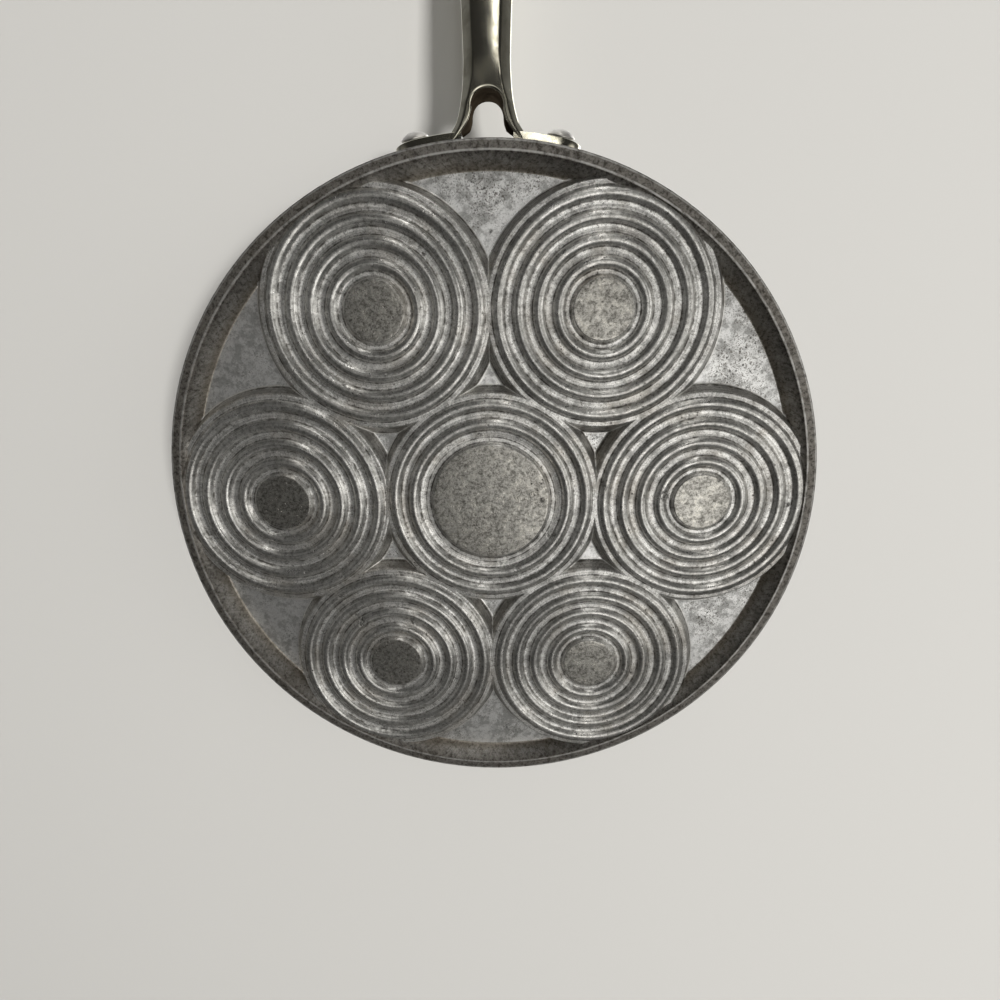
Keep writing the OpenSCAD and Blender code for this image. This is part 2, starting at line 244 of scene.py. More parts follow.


# %% [markdown]
# ### Bare cast aluminium
# Years of use leave a bare casting grey and mottled. The flat lands between the beads keep the bright skin
# and the fine rings left by the lathe that cut the mould's pattern. The beads have a duller, darker grey.
# Painted highlights run along the lines where two discs meet, where a disc meets the floor and along the
# foot ring's edges. Painted shade darkens the discs' side walls and the creases at the feet of the beads, the
# pad and the walls. Grease has baked onto the foot ring and the wall inside it as a dark brown film, and small
# pits and nicks are scattered over all of it. The height over the stove and the distance from the disc's
# middle, both in metres, say which is which.

# %% The bare casting
def bare_casting():
    """The finish of the underside and of the outer wall."""
    material, tree, shader = new_material("bare_casting")

    def times(a, b):
        return sums(tree, "MULTIPLY", a, b)

    spot = put(tree, "ShaderNodeTexCoord").outputs["Object"]
    height = put(tree, "ShaderNodeSeparateXYZ", {0: spot}).outputs["Z"]
    places = {name: put(tree, "ShaderNodeAttribute", attribute_name=name).outputs["Fac"]
              for name in ("from_disc", "from_next", "middle_disc", "on_ring", "on_skirt")}
    from_disc = places["from_disc"]

    # patterns from clouds of some centimetres down to sand grains
    clouds = grain(tree, spot, 42.0, 4.0, 0.6, 0.3)
    mottle = grain(tree, spot, 210.0, 5.0, 0.74, 0.2)
    tilted = put(tree, "ShaderNodeMapping", {"Vector": spot, "Rotation": (0.5, 0.8, 0.3)}).outputs["Vector"]
    fine = grain(tree, tilted, 700.0, 3.0, 0.75, 0.25)
    sand = grain(tree, tilted, 1700.0, 2.0, 0.6)
    pits = put(tree, "ShaderNodeTexVoronoi", {"Vector": spot, "Scale": 480.0}).outputs["Distance"]
    turning = put(tree, "ShaderNodeTexNoise", {"W": from_disc, "Scale": 1500.0, "Detail": 3.0,
                                               "Roughness": 0.65}, noise_dimensions="1D").outputs["Fac"]
    nick_cells = put(tree, "ShaderNodeTexVoronoi", {"Vector": spot, "Scale": 85.0},
                     feature="SMOOTH_F1").outputs["Distance"]
    nick = times(between(tree, nick_cells, 0.11, 0.04), between(tree, fine, 0.45, 0.6))

    # where on the disc: pad, bead, foot of a bead, wall, foot of the wall, valley between walls, floor
    pad_edge = put(tree, "ShaderNodeMix", {0: places["middle_disc"], 2: PAD * MM, 3: PAD_MIDDLE * MM},
                   data_type="FLOAT").outputs[0]
    past_pad = sums(tree, "SUBTRACT", from_disc, pad_edge)
    pad = times(between(tree, past_pad, 0.0004, -0.0002), between(tree, height, 0.003, 0.001))
    pad_foot = line_at(tree, past_pad, 0.00135, 0.0005)
    from_first = sums(tree, "SUBTRACT", from_disc, (FIRST_BEAD - BEAD_STEP / 2) * MM)
    step = sums(tree, "DIVIDE", from_first, BEAD_STEP * MM)
    along = put(tree, "ShaderNodeMath", {0: step}, operation="FRACT").outputs[0]
    off_crest = times(size_of(tree, sums(tree, "SUBTRACT", along, 0.5)), BEAD_STEP * MM)
    with_beads = times(between(tree, past_pad, 0.0020, 0.0025), between(tree, from_disc, 0.0428, 0.0424))
    bead_foot = times(line_at(tree, off_crest, 0.00240, 0.00045), with_beads)
    on_bead = times(between(tree, off_crest, 0.00225, 0.00175), with_beads)
    gap = sums(tree, "SUBTRACT", places["from_next"], from_disc)
    off_ring = between(tree, places["on_ring"], 0.5, 0.1)
    wall = times(times(between(tree, height, 0.0020, 0.0030), between(tree, height, 0.0074, 0.0068)), off_ring)
    valley = times(times(between(tree, gap, 0.00075, 0.00015), wall), between(tree, from_disc, 0.0480, 0.0470))
    low_wall = times(line_at(tree, from_disc, 0.04590, 0.00050), wall)
    near_floor = times(between(tree, height, 0.0064, 0.0070), off_ring)
    wall_foot = times(line_at(tree, from_disc, 0.04655, 0.00045), near_floor)
    past_walls = times(between(tree, from_disc, 0.0466, 0.0472), off_ring)
    on_floor = times(between(tree, height, 0.0066, 0.0072), past_walls)

    # colour
    grey = blended(tree, between(tree, mottle, 0.34, 0.62), (0.46, 0.455, 0.44, 1), (0.90, 0.89, 0.86, 1))
    grey = blended(tree, times(between(tree, turning, 0.50, 0.36), 0.40), grey, (0.26, 0.255, 0.24, 1))
    grey = blended(tree, times(between(tree, turning, 0.56, 0.64), between(tree, mottle, 0.40, 0.55)), grey,
                   (0.93, 0.925, 0.90, 1))
    grey = blended(tree, times(between(tree, fine, 0.45, 0.34), 0.75), grey, (0.18, 0.175, 0.16, 1))
    grey = blended(tree, times(between(tree, sand, 0.46, 0.36), 0.55), grey, (0.15, 0.145, 0.13, 1))
    grey = blended(tree, times(between(tree, clouds, 0.46, 0.66), 0.35), grey, (0.46, 0.41, 0.34, 1))
    # the beads get a duller, darker grey than the lands
    dull = blended(tree, between(tree, fine, 0.36, 0.64), (0.25, 0.245, 0.23, 1), (0.52, 0.515, 0.49, 1))
    dull = blended(tree, between(tree, turning, 0.54, 0.64, 0.0, 0.55), dull, (0.78, 0.77, 0.74, 1))
    colour = blended(tree, times(on_bead, between(tree, mottle, 0.36, 0.62, 0.80, 0.50)), grey, dull)
    floor_tone = blended(tree, between(tree, mottle, 0.38, 0.58), (0.44, 0.44, 0.43, 1), (0.86, 0.86, 0.85, 1))
    sandy = times(between(tree, sand, 0.46, 0.36), between(tree, clouds, 0.42, 0.60, 0.2, 0.9))
    floor_tone = blended(tree, sandy, floor_tone, (0.12, 0.11, 0.095, 1))
    grainy = times(between(tree, fine, 0.43, 0.34), between(tree, clouds, 0.45, 0.62, 0.1, 0.8))
    floor_tone = blended(tree, grainy, floor_tone, (0.16, 0.145, 0.125, 1))
    colour = blended(tree, times(on_floor, 0.9), colour, floor_tone)
    pad_tone = blended(tree, between(tree, fine, 0.33, 0.66), (0.13, 0.125, 0.11, 1), (0.48, 0.465, 0.43, 1))
    pad_tone = blended(tree, between(tree, sand, 0.46, 0.34, 0.0, 0.75), pad_tone, (0.09, 0.083, 0.07, 1))
    pad_tone = blended(tree, between(tree, mottle, 0.48, 0.62, 0.0, 0.50), pad_tone, (0.58, 0.56, 0.50, 1))
    colour = blended(tree, times(pad, 0.9), colour, pad_tone)
    # painted shade: the discs' side walls are darkened towards brown, for the shade that falls in the recesses
    # between the discs
    colour = blended(tree, times(wall, 0.35), colour, (0.17, 0.155, 0.135, 1))
    film = blended(tree, between(tree, fine, 0.34, 0.62), (0.12, 0.095, 0.07, 1), (0.30, 0.27, 0.22, 1))
    colour = blended(tree, times(places["on_skirt"], 0.85), colour, film)
    flat_spot = put(tree, "ShaderNodeVectorMath", {0: spot, 1: (1, 1, 0)}, operation="MULTIPLY").outputs[0]
    from_middle = put(tree, "ShaderNodeVectorMath", {0: flat_spot}, operation="LENGTH").outputs["Value"]
    outer_edge = line_at(tree, from_middle, (FOOT - 0.5) * MM, 0.0004)
    inner_edge = line_at(tree, from_middle, (inner_foot + 0.5) * MM, 0.0005)
    ring_edges = times(places["on_ring"], sums(tree, "MAXIMUM", outer_edge, inner_edge))
    ring_tone = blended(tree, between(tree, fine, 0.38, 0.60), (0.045, 0.038, 0.030, 1),
                        (0.17, 0.155, 0.135, 1))
    colour = blended(tree, times(places["on_ring"], 0.88), colour, ring_tone)
    # painted shade: thin dark lines in the creases at the feet of the beads, the pad and the side walls, where
    # shade falls; the same mask also makes them a little rougher
    dark = sums(tree, "MAXIMUM", bead_foot, sums(tree, "MAXIMUM", pad_foot, low_wall))
    grime_and_crease_shade = times(dark, between(tree, mottle, 0.34, 0.60, 0.85, 0.20))
    colour = blended(tree, grime_and_crease_shade, colour, (0.07, 0.063, 0.053, 1))
    # painted highlight: bright lines in the valleys between discs, at the feet of the side walls and on the foot
    # ring's edges, where light catches the rounded fillets and edges; there the roughness is also lowered
    edge_highlight_lines = sums(tree, "MAXIMUM", sums(tree, "MAXIMUM", valley, wall_foot), times(ring_edges, 0.40))
    painted_edge_highlight = times(edge_highlight_lines, between(tree, mottle, 0.35, 0.55, 0.3, 0.95))
    colour = blended(tree, painted_edge_highlight, colour, (0.88, 0.875, 0.85, 1))
    pit = times(between(tree, pits, 0.22, 0.10), between(tree, clouds, 0.50, 0.62))
    dents = sums(tree, "MAXIMUM", times(pit, 0.8), nick)
    colour = blended(tree, times(dents, 0.85), colour, (0.06, 0.055, 0.048, 1))
    tree.links.new(colour, shader.inputs["Base Color"])

    # gloss
    rough = between(tree, mottle, 0.30, 0.70, 0.46, 0.34)
    rough = sums(tree, "SUBTRACT", rough, times(sums(tree, "MAXIMUM", pad, on_bead), 0.09))
    rough = sums(tree, "ADD", rough, times(places["on_ring"], 0.10))
    rough = sums(tree, "ADD", rough, times(grime_and_crease_shade, 0.20))
    rough = sums(tree, "SUBTRACT", rough, times(painted_edge_highlight, 0.08))
    tree.links.new(rough, shader.inputs["Roughness"])
    filmy = sums(tree, "MAXIMUM", places["on_ring"], places["on_skirt"])
    tree.links.new(between(tree, filmy, 0.0, 1.0, 0.95, 0.90), shader.inputs["Metallic"])
    shader.inputs["Specular IOR Level"].default_value = 0.4

    # relief
    normal = bumped(tree, clouds, 0.25, 0.0008)
    normal = bumped(tree, turning, 0.35, 0.00006, normal)
    normal = bumped(tree, mottle, 0.32, 0.00016, normal)
    normal = bumped(tree, fine, 0.50, 0.00010, normal)
    normal = bumped(tree, sand, 0.40, 0.00004, normal)
    normal = bumped(tree, dents, 0.6, -0.00030, normal)
    tree.links.new(normal, shader.inputs["Normal"])
    return material


CASTING = bare_casting()
print("finish made:", CASTING.name)

# %% [markdown]
# ### The dark coat inside
# The cooking side of such a pan is sprayed with a dark non-stick coat and baked. It is nearly black, with a
# fine pebbled skin, a soft gloss, and lighter rubbed places where turners have slid over it.

# %% The non-stick coat
def dark_coat():
    """The finish of the cooking side."""
    material, tree, shader = new_material("dark_coat")
    spot = put(tree, "ShaderNodeTexCoord").outputs["Object"]
    clouds = grain(tree, spot, 38.0, 4.0, 0.6)
    pebbles = grain(tree, spot, 1900.0, 2.0, 0.5)
    flecks = put(tree, "ShaderNodeTexVoronoi", {"Vector": spot, "Scale": 900.0}).outputs["Distance"]
    strokes = put(tree, "ShaderNodeMapping", {"Vector": spot, "Rotation": (0, 0, 0.5), "Scale": (40, 900, 40)})
    rubs = grain(tree, strokes.outputs["Vector"], 1.0, 4.0, 0.6)
    colour = blended(tree, between(tree, clouds, 0.35, 0.65), (0.020, 0.020, 0.021, 1),
                     (0.034, 0.034, 0.035, 1))
    colour = blended(tree, sums(tree, "MULTIPLY", between(tree, flecks, 0.16, 0.08), 0.35), colour,
                     (0.12, 0.12, 0.12, 1))
    colour = blended(tree, sums(tree, "MULTIPLY", between(tree, rubs, 0.60, 0.72), 0.25), colour,
                     (0.10, 0.10, 0.10, 1))
    tree.links.new(colour, shader.inputs["Base Color"])
    tree.links.new(between(tree, clouds, 0.30, 0.70, 0.34, 0.48), shader.inputs["Roughness"])
    shader.inputs["Specular IOR Level"].default_value = 0.5
    normal = bumped(tree, pebbles, 0.35, 0.00005)
    normal = bumped(tree, rubs, 0.15, 0.00003, normal)
    tree.links.new(normal, shader.inputs["Normal"])
    return material


COAT = dark_coat()
print("finish made:", COAT.name)

# %% [markdown]
# ## The discs and wells
# Under each well hangs a thick disc with round beads on it. Each disc is turned like a coin on a lathe: one
# profile from the pad in its middle, over the beads, round its edge, down its side wall and out along the
# floor of the pan. Neighbouring discs run into each other, so each is cut off at the line halfway to its
# neighbour: the halves meet there and are merged into one skin.

# %% The underside profile of one disc
def bead(centre):
    """One bead as a round arc with softened feet."""
    half = BEAD_WIDTH / 2
    arc = (half ** 2 + BEAD_HEIGHT ** 2) / (2 * BEAD_HEIGHT)
    spread = math.asin(half / arc)
    steps = 10
    points = []
    for k in range(steps + 1):
        turn = spread * (2 * k / steps - 1)
        drop = arc * math.cos(turn) - arc * math.cos(spread)
        points.append((centre + arc * math.sin(turn), LAND - drop))
    foot = 0.32
    points[0] = (centre - half - foot, LAND)
    points[-1] = (centre + half + foot, LAND)
    points.insert(1, (centre - half + foot * 0.12, LAND - foot * 0.55))
    points.insert(-1, (centre + half - foot * 0.12, LAND - foot * 0.55))
    return points


FLOOR_RINGS = (54.0, 60.0, 67.0)        # radii of the last points, on the flat floor round a disc
PLATE_RINGS = (57.0, 67.0)              # the same on the plate round a well


def disc_profile(pad, crests):
    """Radius and height along one disc, from its middle out to the floor of the pan."""
    shoulder = rounded([(pad - 1.0, 0, 0), (pad + 0.15, 0, 0), (pad + 1.25, LAND, 0), (pad + 2.3, LAND, 0)],
                       [0.55, 0.8])
    points = [(0.0, 0.0), (pad * 0.5, 0.0)] + [(p[0], p[1]) for p in shoulder]
    for crest in crests:
        points += bead(crest)
    wall = [(DISC + (DISC_FOOT - DISC) * k / 6, LAND + (FLOOR - LAND) * k / 6, 0) for k in range(7)]
    edge = rounded([(LAST_LAND, LAND, 0)] + wall + [(FLAT_START, FLOOR, 0)], [0.6] + [0.1] * 5 + [0.6], 4)
    points += [(p[0], p[1]) for p in edge]
    return points + [(radius, FLOOR) for radius in FLOOR_RINGS]


outer_profile = disc_profile(PAD, BEADS)
middle_profile = disc_profile(PAD_MIDDLE, BEADS[2:])
print("points in an outer disc's profile:", len(outer_profile), "and in the middle one:", len(middle_profile))

# %% The profile of one well
well_corners = [(0, WELL_FLOOR, 0), (WELL, WELL_FLOOR, 0), (WELL_LIP, PLATE_TOP, 0), (WELL_FLAT, PLATE_TOP, 0)]
well_profile = [(p[0], p[1]) for p in rounded(well_corners, [2.2, 0.9], 6)]
well_profile += [(radius, PLATE_TOP) for radius in (FLAT_START, *PLATE_RINGS)]
print("points in a well's profile:", len(well_profile))


# %% [markdown]
# Two side walls that lean towards each other meet in a valley, and in a casting that valley is a small round
# fillet. The height of the neighbour's wall is worked out for each point near the halfway line, and the two
# heights are blended over a short distance.

# %% Soften the valleys between neighbours
VALLEY_FROM = 42.4      # distance from a disc's middle at which its wall can start to meet another
VALLEY_TO = 50.0        # and at which it has ended
VALLEY_ROUND = 0.45     # two walls' heights are blended when they differ by less than this
VALLEY_EASE = 1.2       # height over which that grows from nothing, at the lands and at the floor


def profile_height(profile, radius):
    """Height of a profile at any radius."""
    return float(np.interp(radius, [p[0] for p in profile], [p[1] for p in profile]))


def soften_valleys(bm, centre, neighbours):
    """Rounds the crease where the side walls of two neighbouring discs meet."""
    for v in bm.verts:
        own = math.hypot(v.co.x - centre[0], v.co.y - centre[1])
        if own < VALLEY_FROM or own > VALLEY_TO:
            continue
        for nx, ny in neighbours:
            other = math.hypot(v.co.x - nx, v.co.y - ny)
            if other > VALLEY_TO or v.co.z < LAND + 0.02:
                continue
            mine, theirs = v.co.z, profile_height(outer_profile, other)
            lower = min(mine, theirs)
            ease = min(1.0, (lower - LAND) / VALLEY_EASE) * min(1.0, (FLOOR - lower) / VALLEY_EASE)
            reach = max(1e-6, VALLEY_ROUND * ease)
            overlap = max(reach - abs(mine - theirs), 0.0) / reach
            v.co.z = lower - overlap ** 2 * reach / 4


# %% [markdown]
# Each place on the pan gets a tile: a wedge of 60 degrees for an outer disc or well, and a hexagon for the
# middle one. A tile is cut from the turned form with planes, so that neighbours share their straight edges.

# %% Cut a tile out of a turned form
def keep_inside(bm, point, normal):
    """Cuts away everything that lies on the normal's side of a plane."""
    bmesh.ops.bisect_plane(bm, geom=bm.verts[:] + bm.edges[:] + bm.faces[:], dist=1e-5, plane_co=point,
                           plane_no=normal, clear_outer=True)


def direction(degrees):
    """The level direction so many degrees from +X."""
    return Vector((math.cos(math.radians(degrees)), math.sin(math.radians(degrees)), 0))


TILE_EDGE = 128.0       # radius where the tiles end, buried in the side wall
TILE_CUTS = 24          # planes that round the outside of one tile


def outer_tile(profile):
    """The part of a disc or well that belongs to the outer place on the +X side."""
    bm = turned(profile, (PITCH, 0))
    keep_inside(bm, (PITCH / 2, 0, 0), (-1, 0, 0))
    keep_inside(bm, (0, 0, 0), direction(120))
    keep_inside(bm, (0, 0, 0), direction(-120))
    step = 60 / TILE_CUTS
    for k in range(TILE_CUTS):
        out = direction(step * (k + 0.5) - 30)
        keep_inside(bm, out * TILE_EDGE * math.cos(math.radians(step / 2)), out)
    return bm


def middle_tile(profile):
    """The hexagon of the middle place."""
    bm = turned(profile)
    for k in range(6):
        keep_inside(bm, direction(60 * k) * PITCH / 2, direction(60 * k))
    return bm


# %% [markdown]
# The seven tiles of the underside and the seven of the cooking side are put together, merged where they
# touch, and closed round the outside. That outside edge is buried in the side wall of the pan.

# %% Put the seven places together
def six_and_middle(outer, middle):
    """One skin from an outer tile, copied six times round, and the middle one."""
    whole = bmesh.new()
    for k in range(6):
        add_bmesh(whole, outer, math.radians(60 * k))
    add_bmesh(whole, middle)
    outer.free()
    middle.free()
    bmesh.ops.remove_doubles(whole, verts=whole.verts, dist=2e-3)
    return whole


below_outer = outer_tile(outer_profile)
soften_valleys(below_outer, (PITCH, 0), [(0, 0)] + [tuple(direction(a) * PITCH)[:2] for a in (60, -60)])
below_middle = middle_tile(middle_profile)
soften_valleys(below_middle, (0, 0), [tuple(direction(60 * k) * PITCH)[:2] for k in range(6)])
below = six_and_middle(below_outer, below_middle)
above = six_and_middle(outer_tile(well_profile), middle_tile(well_profile))
bmesh.ops.reverse_faces(above, faces=above.faces)
print("underside faces", len(below.faces), "cooking side faces", len(above.faces))

# %% Close the casting's plate and colour its two sides
plate = bmesh.new()
add_bmesh(plate, below)
add_bmesh(plate, above)
for face in list(plate.faces)[-len(above.faces):]:
    face.material_index = 1
below.free()
above.free()
rims = [e for e in plate.edges if e.is_boundary]
bmesh.ops.bridge_loops(plate, edges=rims)
bmesh.ops.recalc_face_normals(plate, faces=plate.faces)
open_edges = sum(1 for e in plate.edges if not e.is_manifold)
print("open or doubled edges left in the plate:", open_edges)
discs_and_wells = finished(plate, "discs_and_wells", [CASTING, COAT], 38)

# %% [markdown]
# ## The foot ring, side wall and rim
# The rest of the casting is one turned form: the flat ring that the pan stands on, the wall inside it that
# leans in to the floor, the side wall that flares out a little, and the rounded rim. Its inner edge is buried
# in the plate, and is pushed down beneath the wells so that none of it shows in them.

# %% Turn the side wall
INNER_EDGE = 119.6      # radius of the hidden inner edge
LEDGE = 126.2           # radius of the hidden step up to the plate's upper side
HIDDEN_TOP = 8.2        # height of the hidden part between the two
WELL_REACH = 43.0       # the hidden part is pushed down where it is this close to a well's middle
SUNK = 3.2              # height it is pushed down to

section = [
    (INNER_EDGE, FLOOR + 0.4, 0), (INNER_EDGE, FLOOR + 0.06, 0), (SKIRT_TOP, FLOOR + 0.02, 0),
    (inner_foot, 0, 0), (FOOT, 0, 0), (RIM, HEIGHT, 0), (RIM - WALL, HEIGHT, 0),
    (FOOT + lean * PLATE_TOP - WALL, PLATE_TOP - 0.02, 0), (LEDGE, PLATE_TOP - 0.06, 0),
    (LEDGE, HIDDEN_TOP, 0), (INNER_EDGE, HIDDEN_TOP, 0), (INNER_EDGE, FLOOR + 0.4, 0)
]
wall_points = rounded(section, [0.01, 1.1, 0.65, 0.8, 1.2, 1.2, 3.2, 0.01, 0.01, 0.01], 6)[:-1]
wall = turned([(p[0], p[1]) for p in wall_points], closed=True)
well_middles = [direction(60 * k) * PITCH for k in range(6)]
for v in wall.verts:
    to_well = min(math.hypot(v.co.x - middle.x, v.co.y - middle.y) for middle in well_middles)
    is_hidden = v.co.z < HIDDEN_TOP + 0.8 and math.hypot(v.co.x, v.co.y) < LEDGE + 0.3
    if is_hidden and to_well < WELL_REACH:
        v.co.z = min(v.co.z, SUNK)
bmesh.ops.recalc_face_normals(wall, faces=wall.faces)
for face in wall.faces:
    spot = face.calc_center_median()
    out = math.hypot(spot.x, spot.y)
    inside = spot.z > PLATE_TOP - 0.5 and out < FOOT + lean * spot.z - 0.7
    face.material_index = 1 if inside else 0
side_wall = finished(wall, "side_wall", [CASTING, COAT], 38)

# %% [markdown]
# The finish has to know where it is on the casting. How far a point is from the middle of its own disc and of
# the next one, whether its disc is the middle one, and whether it is on the foot ring's face or on the wall
# inside it are worked out once, and written on the points of the mesh as attributes.

# %% Write the places on the points
centres = np.array([(0, 0)] + [tuple(direction(60 * k) * PITCH)[:2] for k in range(6)])


def write_places(piece):
    """Writes on each point of a piece where it is on the casting."""
    mesh = piece.data
    co = np.empty(len(mesh.vertices) * 3, np.float32)
    mesh.vertices.foreach_get("co", co)
    co = co.reshape(-1, 3) / MM
    to_discs = np.linalg.norm(co[:, None, :2] - centres[None, :, :], axis=2)
    nearest = np.sort(to_discs, axis=1)
    from_middle, z = np.linalg.norm(co[:, :2], axis=1), co[:, 2]
    in_wall = piece.name == "side_wall"
    ring = in_wall & (from_middle > inner_foot - 0.3) & (z < 0.8)
    skirt = in_wall & (from_middle > SKIRT_TOP - 0.8) & (from_middle < inner_foot - 0.4) & (z < FLOOR + 0.1)
    outside = in_wall & (from_middle > FOOT - 0.2) & (z < HEIGHT)
    written = {
        "from_disc": nearest[:, 0] * MM,
        "from_next": nearest[:, 1] * MM,
        "middle_disc": to_discs.argmin(axis=1) == 0,
        "on_ring": ring | outside,
        "on_skirt": skirt,
    }
    for name, values in written.items():
        layer = mesh.attributes.new(name, "FLOAT", "POINT")
        layer.data.foreach_set("value", np.asarray(values, np.float32))
    print(piece.name, "points on the ring:", int(ring.sum()), "on the wall inside it:", int(skirt.sum()))


for piece in (discs_and_wells, side_wall):
    write_places(piece)
    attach(piece, "root")
    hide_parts("pan")

# %% [markdown]
# ## The handle
# The handle is a hollow steel pressing with eight flat sides. Near the pan it forks into two legs with an arch
# between them, and a hole near its far end lets it hang. Only a quarter is made: the right half of the lower
# side, straight and level. It is mirrored twice, and the whole handle is then thinned and bent to its slope.

# %% The measures of the handle
DEEP = 5.85             # half the depth at the fork
MIDDLE = 14.35          # height of the middle of the fork
WALL_LINE = FOOT + lean * MIDDLE        # radius of the pan's wall at that height
LEG_END = 130.6         # where the legs end, before they are drawn out to the wall
END = 336.0             # far end of the handle
WAIST = 8.15            # half width of the waist
FLARE = 5.2             # extra half width of the fork at the wall
FLARE_RUN = 7.6         # length over which most of that is lost again
GAIN = 3.4              # extra half width of the grip
GRIP_START = 157.0      # where the handle starts to widen into its grip
GRIP_RUN = 132.0        # length over which it widens
ARCH_TOP = 147.6        # where the arch between the legs ends
ARCH_HALF = 5.7         # half width of the arch under its round top
ARCH_ROUND = 6.0        # length of the round top
ARCH_GAIN = 0.135       # how much the arch widens below its top, for the first millimetre
ARCH_POWER = 1.585      # and how fast that grows
BOW = 2 / 2.2           # how round the top of the arch is: 1 is an ellipse, smaller is squarer
HOLE_Y = 322.0          # middle of the hanging hole
HOLE_RADIUS = 5.0       # its radius
FACET = 3.4             # width of the slanting facet along the shaft
LEG_FACET = 2.1         # its width on the legs
FACET_FROM = 141.0      # where it starts to change from the one to the other
LIP = 0.8               # radius of the rolled edge round the arch and the hole
SOFT = 0.55             # how far the softened corners of the facets reach
NECK = 152.0            # where the arch ends and the shaft begins
HOLE_START = 313.0      # where the shaft ends and the part round the hole begins
ARCH_FOOT = ARCH_TOP - ARCH_ROUND       # where the round top of the arch begins


def wall_radius(z):
    """Outer radius of the pan's wall at a height."""
    return FOOT + lean * z


def side_of_handle(y):
    """Half width of the handle, before its end is rounded."""
    wide = WAIST + FLARE * math.exp(-(y - WALL_LINE) / FLARE_RUN)
    return wide + GAIN * math.sin(math.pi / 2 * min(1.0, max(0.0, (y - GRIP_START) / GRIP_RUN)))


def arch_leg(y):
    """Half width of the arch below its rounded top."""
    return ARCH_HALF + ARCH_GAIN * max(0.0, ARCH_FOOT - y) ** ARCH_POWER


def arch_width(y):
    """Half width of the whole arch: its round top is part of a squarish ellipse, and past it there is none."""
    rise = (y - ARCH_FOOT) / ARCH_ROUND
    if rise < 0:
        return arch_leg(y)
    return ARCH_HALF * max(0.0, 1 - rise ** (2 / BOW)) ** (BOW / 2)


def facet_at(y):
    """Width of the slanting facet: it grows from the legs to the shaft, and leaves room for the arch's lip."""
    spare = side_of_handle(y) - arch_width(y) - LIP - 2.1 * SOFT
    rest = max(0.0, (y - FACET_FROM) / (NECK - FACET_FROM)) if y < NECK else 1.0
    return min(spare, LEG_FACET + (FACET - LEG_FACET) * rest ** 2 * (3 - 2 * rest))


print("half widths at the waist and the grip:", [round(side_of_handle(y), 2) for y in (156.2, 289.0)])

# %% [markdown]
# The outside of the handle is one long rail, from the end of a leg, up the side and round the far end. At each
# of its points the way inward is worked out, because the facets are measured square to the rail.

# %% The rail round the outside
def inward(points):
    """The way into the metal at each point of a chain that runs anticlockwise round it."""
    ways = []
    for k, here in enumerate(points):
        before, after = points[max(0, k - 1)], points[min(len(points) - 1, k + 1)]
        run = (after - before).normalized()
        ways.append(Vector((-run.y, run.x)))
    return ways


LEG_STEPS, SHAFT_STEPS, LAST_STEPS, END_STEPS = 38, 60, 8, 22
tip = WAIST + GAIN      # radius of the round far end
leg_stations = [LEG_END + (NECK - LEG_END) * k / LEG_STEPS for k in range(LEG_STEPS + 1)]
shaft_stations = [NECK + (HOLE_START - NECK) * (k / SHAFT_STEPS) ** 1.25 for k in range(1, SHAFT_STEPS + 1)]
last_stations = [HOLE_START + (END - tip - HOLE_START) * k / LAST_STEPS for k in range(1, LAST_STEPS + 1)]
end_turns = [math.pi / 2 * k / END_STEPS for k in range(1, END_STEPS + 1)]
rail = [Vector((side_of_handle(y), y)) for y in leg_stations + shaft_stations + last_stations]
rail += [Vector((tip * math.cos(t), END - tip + tip * math.sin(t))) for t in end_turns]
ways_in = inward(rail)
ways_in[-1] = Vector((0, -1))
flat_edge = [here + way * (facet_at(here.y) + SOFT) for here, way in zip(rail, ways_in)]
flat_edge[-1].x = 0.0
neck_at, hole_at = len(leg_stations) - 1, len(leg_stations) + len(shaft_stations) - 1
print("points on the rail:", len(rail))

# %% [markdown]
# A grid is the simplest mesh with rows and columns. Each row of a grid is moved onto a chain of points, so the
# grid is stretched into a skin. The flat face is three such skins: a fan from the arch out to the neck and the
# legs, straight rows along the shaft, and a fan from the hanging hole. A fourth runs along the whole rail and
# carries the facet and the side.

# %% Stretch grids over chains of points
def stretched(rows):
    """A bmesh grid whose rows lie on the given chains of points."""
    bm = bmesh.new()
    across, along = len(rows[0]) - 1, len(rows) - 1
    bmesh.ops.create_grid(bm, x_segments=across, y_segments=along, size=1.0)
    for v in bm.verts:
        v.co = rows[round((v.co.y + 1) / 2 * along)][round((v.co.x + 1) / 2 * across)]
    return bm


def flat_row(y_start, edge, count):
    """Points across the flat, from the middle line out to the edge of the facet."""
    start = Vector((0.0, y_start))
    return [start.lerp(edge, k / count) for k in range(count + 1)]


def hollow_row(hole_point, way, far_point, columns=9):
    """From the middle of the hole's wall, down the wall, round its rolled lip and out over the flat."""
    row = [(hole_point.x, hole_point.y, -(DEEP - LIP) * k / 3) for k in range(4)]
    for k in range(1, 7):
        t = math.pi / 2 * k / 6
        on = hole_point + way * LIP * (1 - math.cos(t))
        row.append((on.x, on.y, -(DEEP - LIP) - LIP * math.sin(t)))
    start = hole_point + way * LIP
    row += [(*start.lerp(far_point, k / columns), -DEEP) for k in range(1, columns + 1)]
    return row


def on_arch(degrees):
    """A point on the round top of the arch, so many degrees from its very top."""
    t = math.radians(degrees)
    return Vector((ARCH_HALF * math.sin(t) ** BOW, ARCH_FOOT + ARCH_ROUND * max(0.0, math.cos(t)) ** BOW))


ACROSS = 12             # columns of a flat row
TOP_TURN = 60           # degrees of the arch's round top that face the neck; the rest faces the leg
REST_STEPS = 10         # steps in that rest
neck_row = flat_row(rail[neck_at].y, flat_edge[neck_at], ACROSS)
hole_row = flat_row(rail[hole_at].y, flat_edge[hole_at], ACROSS)

